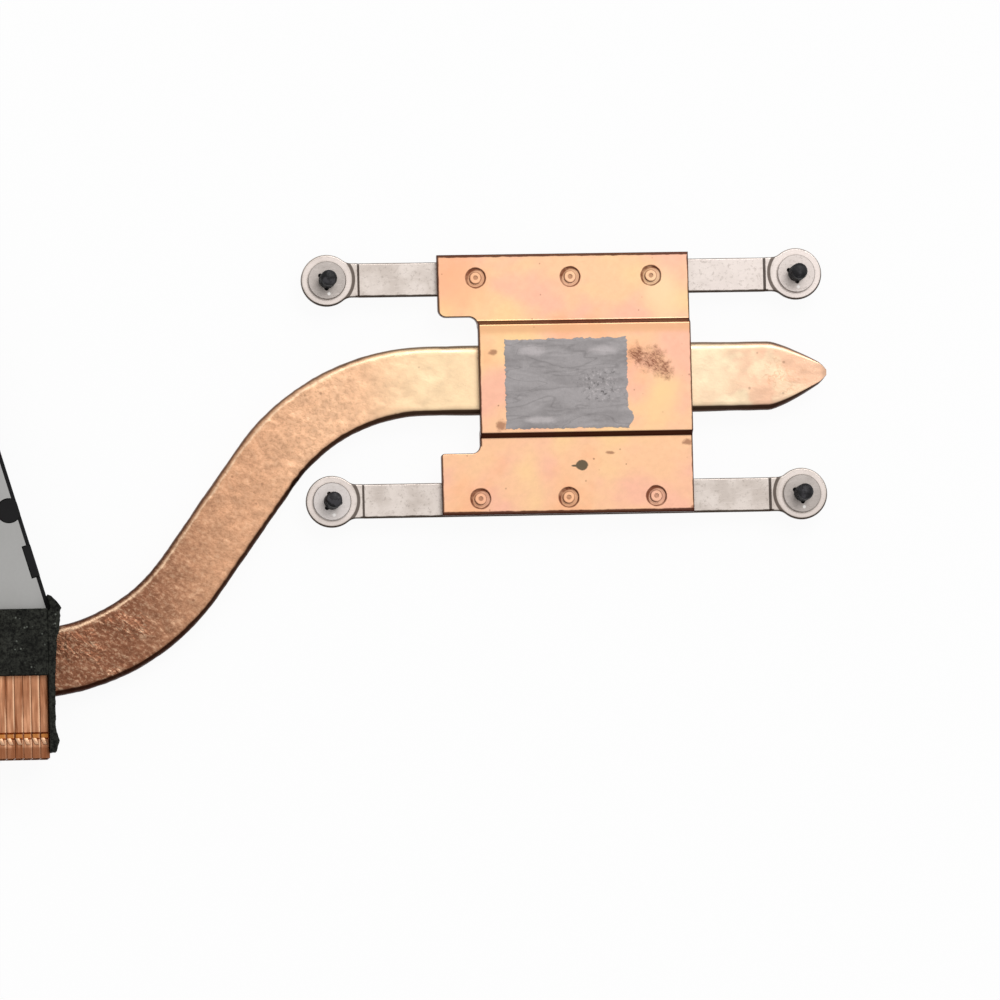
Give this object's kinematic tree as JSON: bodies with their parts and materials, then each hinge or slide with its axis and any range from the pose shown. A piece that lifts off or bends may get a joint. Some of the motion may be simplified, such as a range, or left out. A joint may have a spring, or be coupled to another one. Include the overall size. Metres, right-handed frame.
{
  "type": "laptop cooling fan heatsink",
  "caption": "Laptop cooling module: cold plate on a flattened S-bent heat pipe, spring bars with captive screws, fin stack and blower fan.",
  "frame": {"origin": "centre of the four captive screws, on the face of the thermal paste that touches the processor", "axes": "+Z out of the contact face towards the motherboard, +X along the pipe's cold end, away from the fan"},
  "size_m": [0.1634, 0.0718, 0.0088],
  "materials": {
    "plate_copper": "satin copper, bright",
    "paste_grey": "smeared, dull",
    "bar_nickel": "satin nickel",
    "pipe_copper": "wrinkled, lightly tarnished copper",
    "fin_copper": "stamped copper sheet",
    "screw_black": "black oxide",
    "washer_grey": "dull",
    "housing_black": "fine moulded grain",
    "cover_grey": "dull sheet",
    "impeller_black": "moulded",
    "foam_black": "open-cell foam",
    "motor_steel": "plain",
    "magnet_dark": "sintered",
    "bearing_bronze": "turned",
    "pad_white": "moulded",
    "coil_enamel": "enamelled wire",
    "board_green": "solder resist",
    "chip_black": "moulded"
  },
  "bodies": {
    "module": {"cpu_plate": "plate_copper", "thermal_paste": "paste_grey", "spring_bar_upper": "bar_nickel", "spring_bar_lower": "bar_nickel", "heat_pipe": "pipe_copper", "fin_stack": "fin_copper", "fan_housing": "housing_black", "fan_cover": "cover_grey", "outlet_foam": "foam_black", "side_foam": "foam_black", "shaft_clip": "motor_steel", "stator_core": "motor_steel", "bearing_sleeve": "bearing_bronze", "bearing_tube": "bearing_bronze", "thrust_pad": "pad_white", "stator_insulator_lower": "pad_white", "stator_insulator_upper": "pad_white", "stator_coil_1": "coil_enamel", "stator_coil_2": "coil_enamel", "stator_coil_3": "coil_enamel", "stator_coil_4": "coil_enamel", "stator_coil_5": "coil_enamel", "stator_coil_6": "coil_enamel", "motor_board": "board_green", "driver_chip": "chip_black"},
    "rotor": {"impeller": "impeller_black", "rotor_yoke": "motor_steel", "rotor_magnet": "magnet_dark", "fan_shaft": "motor_steel"},
    "washer_ul": {"retaining_washer_ul": "washer_grey"},
    "screw_ul": {"captive_screw_ul": "screw_black"},
    "washer_ur": {"retaining_washer_ur": "washer_grey"},
    "screw_ur": {"captive_screw_ur": "screw_black"},
    "washer_ll": {"retaining_washer_ll": "washer_grey"},
    "screw_ll": {"captive_screw_ll": "screw_black"},
    "washer_lr": {"retaining_washer_lr": "washer_grey"},
    "screw_lr": {"captive_screw_lr": "screw_black"}
  },
  "joints": [
    {"name": "impeller_spin", "type": "hinge", "parent": "module", "child": "rotor", "pos_m": [-0.097, 0.0035, 0], "axis": [0, 0, 1], "continuous": true},
    {"name": "screw_lift_ul", "type": "slide", "parent": "module", "child": "washer_ul", "axis": [0, 0, 1], "range_m": [0, 0.00096]},
    {"name": "screw_turn_ul", "type": "hinge", "parent": "washer_ul", "child": "screw_ul", "pos_m": [-0.0283, 0.01325, 0], "axis": [0, 0, 1], "continuous": true},
    {"name": "screw_lift_ur", "type": "slide", "parent": "module", "child": "washer_ur", "axis": [0, 0, 1], "range_m": [0, 0.00096]},
    {"name": "screw_turn_ur", "type": "hinge", "parent": "washer_ur", "child": "screw_ur", "pos_m": [0.0283, 0.01325, 0], "axis": [0, 0, 1], "continuous": true},
    {"name": "screw_lift_ll", "type": "slide", "parent": "module", "child": "washer_ll", "axis": [0, 0, 1], "range_m": [0, 0.00096]},
    {"name": "screw_turn_ll", "type": "hinge", "parent": "washer_ll", "child": "screw_ll", "pos_m": [-0.0283, -0.01325, 0], "axis": [0, 0, 1], "continuous": true},
    {"name": "screw_lift_lr", "type": "slide", "parent": "module", "child": "washer_lr", "axis": [0, 0, 1], "range_m": [0, 0.00096]},
    {"name": "screw_turn_lr", "type": "hinge", "parent": "washer_lr", "child": "screw_lr", "pos_m": [0.0283, -0.01325, 0], "axis": [0, 0, 1], "continuous": true}
  ]
}
